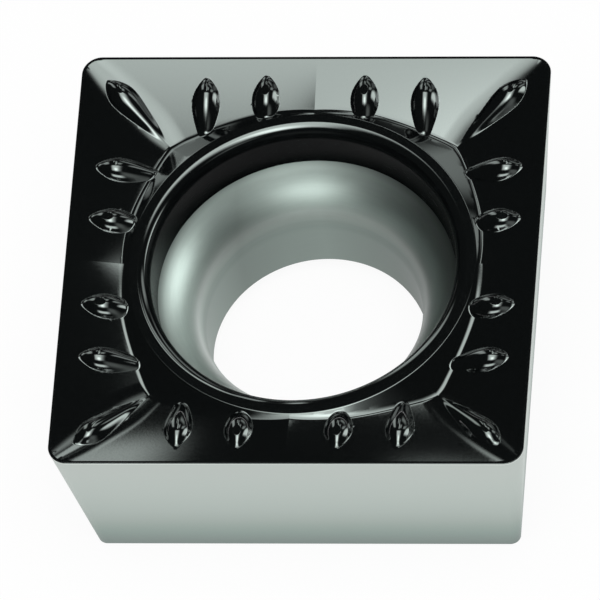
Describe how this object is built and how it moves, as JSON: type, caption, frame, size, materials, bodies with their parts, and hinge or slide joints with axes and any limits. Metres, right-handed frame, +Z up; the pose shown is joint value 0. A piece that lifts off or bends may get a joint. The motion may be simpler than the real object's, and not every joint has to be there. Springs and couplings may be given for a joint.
{
  "type": "carbide insert",
  "caption": "Square indexable carbide cutting insert, clearance on all flanks, one-sided moulded chipbreaker with raised drops and a flared screw hole.",
  "frame": {"origin": "where the axis of the screw hole meets the seat (bottom face)", "axes": "+Z up along the screw hole from the seat to the cutting edge; X and Y square to the flanks"},
  "size_m": [0.0096, 0.0096, 0.004],
  "materials": {
    "coated_carbide": "glossy black coat on the top face and satin grey ground flanks"
  },
  "bodies": {
    "root": {"insert": "coated_carbide"}
  },
  "joints": []
}
